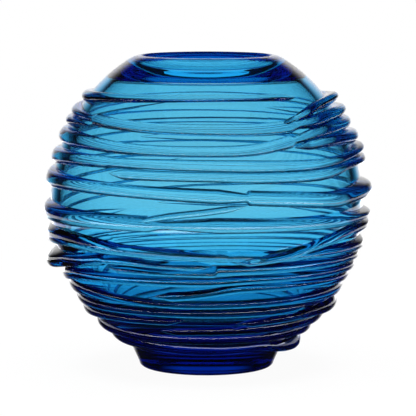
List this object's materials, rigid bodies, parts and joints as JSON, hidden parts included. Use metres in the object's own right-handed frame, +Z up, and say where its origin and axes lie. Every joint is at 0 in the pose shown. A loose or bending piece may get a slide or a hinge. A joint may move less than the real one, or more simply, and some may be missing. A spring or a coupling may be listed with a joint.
{
  "type": "globe vase",
  "caption": "Round blown-glass vase: a thick blue globe on a short tapered foot, wound with clear glass trails, with a narrow rounded mouth.",
  "frame": {"origin": "centre of the flat bottom of the foot, on the surface that the vase stands on", "axes": "+Z up along the globe's axis, -Y towards the front that the picture shows, +X to the right of it"},
  "size_m": [0.2635, 0.261, 0.25],
  "materials": {
    "blue_glass": "blown, fire polished, tinted blue through the wall",
    "clear_glass": "hot-laid, fire polished, colourless"
  },
  "bodies": {
    "root": {"globe": "blue_glass", "trail_crown": "clear_glass", "trail_shoulder": "clear_glass", "trail_upper": "clear_glass", "trail_high": "clear_glass", "trail_equator": "clear_glass", "trail_bridge": "clear_glass", "trail_low": "clear_glass", "trail_sweep": "clear_glass", "trail_bowl": "clear_glass", "trail_under": "clear_glass", "trail_deep": "clear_glass", "trail_foot": "clear_glass"}
  },
  "joints": []
}
